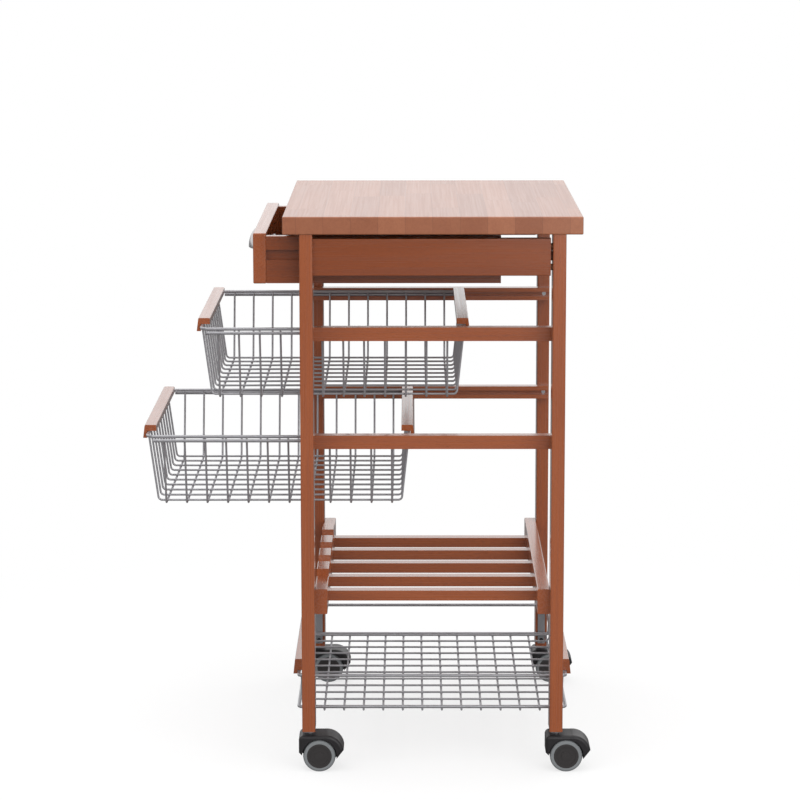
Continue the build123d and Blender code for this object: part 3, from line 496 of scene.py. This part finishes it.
def finishes():
    """Every finish of the cart by name. They are made once, when first asked for."""
    if "worktop_staves" in bpy.data.materials:
        return bpy.data.materials
    look = bpy.context.scene.cart_finish
    groups = {
        "grain": beech_grain_group(),
        "staves": stave_group(),
        "lacquer": lacquer_group(),
        "speckle": fine_speckle_group(),
    }
    beech_material("worktop_staves", groups, look.worktop_light, look.worktop_dark, film=0.8, roughness=0.42,
                   staves=(look.stave_width, look.stave_length))
    for axis in "XYZ":
        beech_material(f"beech_along_{axis.lower()}", groups, look.wood_light, look.wood_dark, axis)
    # Darker copy of the frame's wood for the aprons and drawer sides: painted shade under the worktop
    beech_material("shade_painted_beech_along_y", groups, look.shaded_apron_light, look.shaded_apron_dark, "Y")
    beech_material("drawer_base_board", groups, look.base_light, look.base_dark, film=0.3, roughness=0.5)
    beech_material("raw_dowel", groups, look.dowel_light, look.dowel_dark, "Y", film=0.0, roughness=0.7)
    speckle_material("satin_wire", groups, look.wire,
                     metallic=0.7, roughness=0.36, grain=700.0, depth=0.25, strength=0.05)
    speckle_material("zinc_steel", groups, look.steel,
                     metallic=0.75, roughness=0.34, grain=500.0, depth=0.35, strength=0.05)
    speckle_material("satin_nickel", groups, look.nickel,
                     metallic=1.0, roughness=0.30, grain=900.0, depth=0.15, strength=0.04)
    speckle_material("black_steel", groups, look.bolt,
                     metallic=0.7, roughness=0.40, grain=700.0, depth=0.30, strength=0.06)
    speckle_material("hood_plastic", groups, look.hood,
                     metallic=0.0, roughness=0.38, grain=1400.0, depth=0.30, strength=0.10)
    speckle_material("hub_plastic", groups, look.hub,
                     metallic=0.0, roughness=0.50, grain=1400.0, depth=0.30, strength=0.10, specular=0.2)
    speckle_material("tyre_rubber", groups, look.tyre,
                     metallic=0.0, roughness=0.58, grain=1100.0, depth=0.30, strength=0.12)
    return bpy.data.materials


def dress(finish, *nodes):
    """Gives a finish to CAD nodes."""
    material = finishes()[finish]
    for name in nodes:
        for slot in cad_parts[name].material_slots:
            slot.material = material


# Welds of the baskets
def weld_tree():
    """Beads on points, a little turned and scaled by a fixed seed."""
    tree, start, end = new_group("Weld beads", "GeometryNodeTree", [
        ("Geometry", "NodeSocketGeometry", None),
        ("Bead Width", "NodeSocketFloat", 0.004),
        ("Bead Height", "NodeSocketFloat", 0.002),
        ("Seed", "NodeSocketInt", 7),
        ("Material", "NodeSocketMaterial", None),
    ], [("Geometry", "NodeSocketGeometry")])
    bead = put(tree, "GeometryNodeMeshUVSphere", {
        "Segments": BEAD_SEGMENTS, "Rings": BEAD_RINGS, "Radius": 0.5,
    })
    size = put(tree, "ShaderNodeCombineXYZ", {
        "X": start.outputs["Bead Width"], "Y": start.outputs["Bead Width"], "Z": start.outputs["Bead Height"],
    })
    shaped = put(tree, "GeometryNodeTransform", {"Geometry": bead.outputs["Mesh"], "Scale": size.outputs[0]})
    smooth = put(tree, "GeometryNodeSetShadeSmooth", {"Geometry": shaped.outputs["Geometry"]})
    turn = put(tree, "FunctionNodeRandomValue", {
        "Seed": start.outputs["Seed"], 0: BEAD_TURN[0], 1: BEAD_TURN[1],
    }, data_type="FLOAT_VECTOR")
    spread = put(tree, "FunctionNodeRandomValue", {
        "Seed": start.outputs["Seed"], 0: BEAD_SPREAD[0], 1: BEAD_SPREAD[1],
    }, data_type="FLOAT_VECTOR")
    placed = put(tree, "GeometryNodeInstanceOnPoints", {
        "Points": start.outputs["Geometry"], "Instance": smooth.outputs["Geometry"],
        "Rotation": turn.outputs[0], "Scale": spread.outputs[0],
    })
    real = put(tree, "GeometryNodeRealizeInstances", {0: placed.outputs["Instances"]})
    painted = put(tree, "GeometryNodeSetMaterial", {
        "Geometry": real.outputs["Geometry"], "Material": start.outputs["Material"],
    })
    tree.links.new(painted.outputs["Geometry"], end.inputs["Geometry"])
    return tree


def from_nodes(name, points, tree, values):
    """Plain mesh object that a Geometry Nodes tree makes from points."""
    seed_mesh = bpy.data.meshes.new(f"{name}_places")
    seed_mesh.from_pydata(points, [], [])
    holder = bpy.data.objects.new(f"{name}_places", seed_mesh)
    bpy.context.collection.objects.link(holder)
    modifier = holder.modifiers.new("Repeat", "NODES")
    modifier.node_group = tree
    for item in tree.interface.items_tree:
        if item.item_type == "SOCKET" and item.in_out == "INPUT" and item.name in values:
            modifier[item.identifier] = values[item.name]
    graph = bpy.context.evaluated_depsgraph_get()
    mesh = bpy.data.meshes.new_from_object(holder.evaluated_get(graph))
    bpy.data.objects.remove(holder)
    mesh.name = name
    made = bpy.data.objects.new(name, mesh)
    bpy.context.collection.objects.link(made)
    return made


def spread_out(count, low, high):
    """Even places from the lowest to the highest."""
    return [low + (high - low) * index / (count - 1) for index in range(count)]


def basket_weld_places(basket, long_count, cross_count, wire, rim):
    """Where the wires of a basket cross, where they meet the rim, and where they carry a floor loop."""
    long_low, long_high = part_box(f"{basket}_long_wires")
    cross_low, cross_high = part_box(f"{basket}_cross_wires")
    rim_low, rim_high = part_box(f"{basket}_rim")
    xs = spread_out(long_count, long_low.x + wire / 2, long_high.x - wire / 2)
    ys = spread_out(cross_count, cross_low.y + wire / 2, cross_high.y - wire / 2)
    level = (long_low.z + cross_low.z + wire) / 2
    places = [(x, y, level) for x in xs for y in ys]
    end_level = min(rim_high.z - rim, long_high.z)
    ends = (max(long_low.y, rim_low.y + rim / 2), min(long_high.y, rim_high.y - rim / 2))
    places += [(x, y, end_level) for x in xs for y in ends]
    if cross_high.z - cross_low.z < 2 * wire:
        places += [(x, y, level) for x in (rim_low.x + rim / 2, rim_high.x - rim / 2) for y in ys]
    return places


# Operators, one for each group of pieces
class CART_OT_worktop(Operator):
    """Finish the staved worktop"""

    bl_idname = "cart.worktop"
    bl_label = "Worktop"

    def execute(self, context):
        dress("worktop_staves", "worktop")
        return {"FINISHED"}


class CART_OT_frame(Operator):
    """Finish the legs, aprons, rails and runners"""

    bl_idname = "cart.frame"
    bl_label = "Frame"

    def execute(self, context):
        dress("beech_along_z", *(f"leg_{corner}" for corner in CORNERS))
        for side in SIDES:
            dress("beech_along_y", f"upper_rail_{side}", f"lower_rail_{side}", f"drawer_runner_{side}")
            # The aprons get the darker copy of the wood, which is painted shade under the worktop
            dress("shade_painted_beech_along_y", f"apron_{side}")
        return {"FINISHED"}


class CART_OT_fasteners(Operator):
    """Finish the dowels, screws, hooks and bolts"""

    bl_idname = "cart.fasteners"
    bl_label = "Fasteners"

    def execute(self, context):
        dress("raw_dowel", "frame_dowels")
        dress("zinc_steel", "rail_screws", "pull_screws", "hangers")
        dress("black_steel", "hanger_bolts")
        return {"FINISHED"}


class CART_OT_bottle_rack(Operator):
    """Finish the bottle rack's bars and slats"""

    bl_idname = "cart.bottle_rack"
    bl_label = "Bottle rack"

    def execute(self, context):
        dress("beech_along_x", "rack_front_bar", "rack_rear_bar")
        dress("beech_along_y", "rack_slats")
        return {"FINISHED"}


class CART_OT_drawer(Operator):
    """Finish the drawer and its pull"""

    bl_idname = "cart.drawer"
    bl_label = "Drawer"

    def execute(self, context):
        dress("beech_along_x", "drawer_front", "drawer_back")
        # The drawer's sides get the darker copy of the wood, which is painted shade under the worktop
        dress("shade_painted_beech_along_y", *(f"drawer_side_{side}" for side in SIDES))
        dress("satin_nickel", "drawer_pull")
        dress("drawer_base_board", "drawer_bottom")
        return {"FINISHED"}


class CART_OT_baskets(Operator):
    """Finish the wire baskets and their wooden bars, and add the weld beads"""

    bl_idname = "cart.baskets"
    bl_label = "Baskets"

    def execute(self, context):
        sizes = context.scene.cart_wire
        tree = weld_tree()
        counts = {
            "upper_basket": (sizes.pull_out_long_wires, sizes.pull_out_cross_wires, "upper_basket"),
            "middle_basket": (sizes.pull_out_long_wires, sizes.pull_out_cross_wires, "middle_basket"),
            "bottom_basket": (sizes.bottom_long_wires, sizes.bottom_cross_wires, "frame"),
        }
        for seed, (basket, (long_count, cross_count, body)) in enumerate(counts.items()):
            dress("satin_wire", f"{basket}_rim", f"{basket}_long_wires", f"{basket}_cross_wires")
            dress("beech_along_x", f"{basket}_front_bar", f"{basket}_rear_bar")
            places = basket_weld_places(basket, long_count, cross_count, sizes.diameter, sizes.rim_diameter)
            beads = from_nodes(f"{basket}_welds", places, tree, {
                "Bead Width": sizes.weld_width,
                "Bead Height": sizes.weld_height,
                "Seed": seed,
                "Material": finishes()["satin_wire"],
            })
            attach(beads, body)
        return {"FINISHED"}


class CART_OT_casters(Operator):
    """Finish the casters"""

    bl_idname = "cart.casters"
    bl_label = "Casters"

    def execute(self, context):
        dress("zinc_steel", "caster_stems")
        for corner in CORNERS:
            dress("hood_plastic", f"caster_hood_{corner}")
            dress("zinc_steel", f"caster_axle_{corner}")
            dress("hub_plastic", f"caster_hubs_{corner}")
            dress("tyre_rubber", f"caster_tyres_{corner}")
        return {"FINISHED"}


# Camera, floor and light
def studio_world(strength):
    """Soft light from all round, which reflections show white at the left side and dim at the right."""
    world = bpy.data.worlds.new("studio")
    bpy.context.scene.world = world
    world.use_nodes = True
    tree = world.node_tree
    tree.nodes.clear()
    path = put(tree, "ShaderNodeLightPath")
    away = put(tree, "ShaderNodeTexCoord").outputs["Generated"]
    parts = put(tree, "ShaderNodeSeparateXYZ", {0: away})
    side = remap(tree, parts.outputs["X"], low=-0.6, high=0.2, to_low=1.0, to_high=0.1)
    room = put(tree, "ShaderNodeCombineXYZ", {"X": side, "Y": side, "Z": side})
    mirrored = math_node(tree, "MAXIMUM", path.outputs["Is Glossy Ray"], path.outputs["Is Transmission Ray"])
    shown = math_node(tree, "MAXIMUM", path.outputs["Is Camera Ray"], mirrored)
    seen = mix_colour(tree, path.outputs["Is Camera Ray"], room.outputs[0], WHITE)
    light = put(tree, "ShaderNodeBackground", {"Color": WHITE, "Strength": strength})
    backdrop = put(tree, "ShaderNodeBackground", {"Color": seen, "Strength": 1.0})
    both = put(tree, "ShaderNodeMixShader", {0: shown, 1: light.outputs[0], 2: backdrop.outputs[0]})
    end = put(tree, "ShaderNodeOutputWorld", {"Surface": both.outputs[0]})
    end.is_active_output = True


def floor_material():
    """Pale floor that keeps the cart's shadow and turns plain white further off."""
    material = bpy.data.materials.new("studio_floor")
    material.use_nodes = True
    tree = material.node_tree
    tree.nodes.clear()
    place = put(tree, "ShaderNodeTexCoord").outputs["Object"]
    reach = put(tree, "ShaderNodeVectorMath", {0: place}, operation="LENGTH").outputs["Value"]
    far = remap(tree, reach, low=0.3, high=1.3, to_low=0.7, to_high=1.0)
    shown = put(tree, "ShaderNodeLightPath").outputs["Is Camera Ray"]
    share = math_node(tree, "MULTIPLY", far, shown)
    colour = mix_colour(tree, shown, FLOOR_LIT, FLOOR_SEEN)
    matt = put(tree, "ShaderNodeBsdfDiffuse", {"Color": colour})
    white = put(tree, "ShaderNodeEmission", {"Color": WHITE, "Strength": 1.0})
    both = put(tree, "ShaderNodeMixShader", {0: share, 1: matt.outputs[0], 2: white.outputs[0]})
    put(tree, "ShaderNodeOutputMaterial", {"Surface": both.outputs[0]})
    return material


def soft_lamp(name, place, aim, size, power):
    """Large square lamp that faces a point."""
    data = bpy.data.lights.new(name, "AREA")
    data.shape = "SQUARE"
    data.size = size
    data.energy = power
    lamp = bpy.data.objects.new(name, data)
    lamp.location = place
    lamp.rotation_euler = (Vector(aim) - Vector(place)).to_track_quat("-Z", "Y").to_euler()
    bpy.context.collection.objects.link(lamp)


class CART_OT_stage(Operator):
    """Set up the camera, the floor and the light"""

    bl_idname = "cart.stage"
    bl_label = "Stage"

    def execute(self, context):
        stage = context.scene.cart_stage
        data = bpy.data.cameras.new("camera")
        data.lens = stage.lens
        data.sensor_width = SENSOR_WIDTH
        data.shift_y = stage.rise
        data.clip_end = CLIP_END
        camera = bpy.data.objects.new("camera", data)
        camera.location = stage.camera_place
        camera.rotation_euler = stage.camera_turn
        context.collection.objects.link(camera)
        context.scene.camera = camera

        reach = stage.floor_reach
        mesh = bpy.data.meshes.new("floor")
        corners = [(-reach, -reach, 0), (reach, -reach, 0), (reach, reach, 0), (-reach, reach, 0)]
        mesh.from_pydata(corners, [], [(0, 1, 2, 3)])
        mesh.materials.append(floor_material())
        floor = bpy.data.objects.new("floor", mesh)
        context.collection.objects.link(floor)

        studio_world(stage.daylight)
        for lamp in LAMPS:
            power = lamp["watts"] * stage.lamp_power
            soft_lamp(lamp["name"], lamp["place"], lamp["aim"], lamp["size"], power)
        context.scene.view_settings.view_transform = "Standard"
        return {"FINISHED"}


class CART_PT_panel(Panel):
    """Steps that dress the cart"""

    bl_label = "Kitchen cart"
    bl_idname = "CART_PT_panel"
    bl_space_type = "VIEW_3D"
    bl_region_type = "UI"
    bl_category = "Cart"

    def draw(self, context):
        for operator in OPERATORS:
            self.layout.operator(operator.bl_idname)
        for group in (context.scene.cart_finish, context.scene.cart_wire, context.scene.cart_stage):
            box = self.layout.box()
            for name in group.__annotations__:
                box.prop(group, name)


OPERATORS = (
    CART_OT_stage,
    CART_OT_worktop,
    CART_OT_frame,
    CART_OT_fasteners,
    CART_OT_bottle_rack,
    CART_OT_drawer,
    CART_OT_baskets,
    CART_OT_casters,
)
CLASSES = (CartFinish, CartWire, CartStage, *OPERATORS, CART_PT_panel)


def register():
    for item in CLASSES:
        bpy.utils.register_class(item)
    bpy.types.Scene.cart_finish = PointerProperty(type=CartFinish)
    bpy.types.Scene.cart_wire = PointerProperty(type=CartWire)
    bpy.types.Scene.cart_stage = PointerProperty(type=CartStage)


def unregister():
    del bpy.types.Scene.cart_stage
    del bpy.types.Scene.cart_wire
    del bpy.types.Scene.cart_finish
    for item in reversed(CLASSES):
        bpy.utils.unregister_class(item)


def main():
    register()
    bpy.ops.cart.stage()
    bpy.ops.cart.worktop()
    bpy.ops.cart.frame()
    bpy.ops.cart.fasteners()
    bpy.ops.cart.bottle_rack()
    bpy.ops.cart.drawer()
    bpy.ops.cart.baskets()
    bpy.ops.cart.casters()


if __name__ == "__main__":
    main()
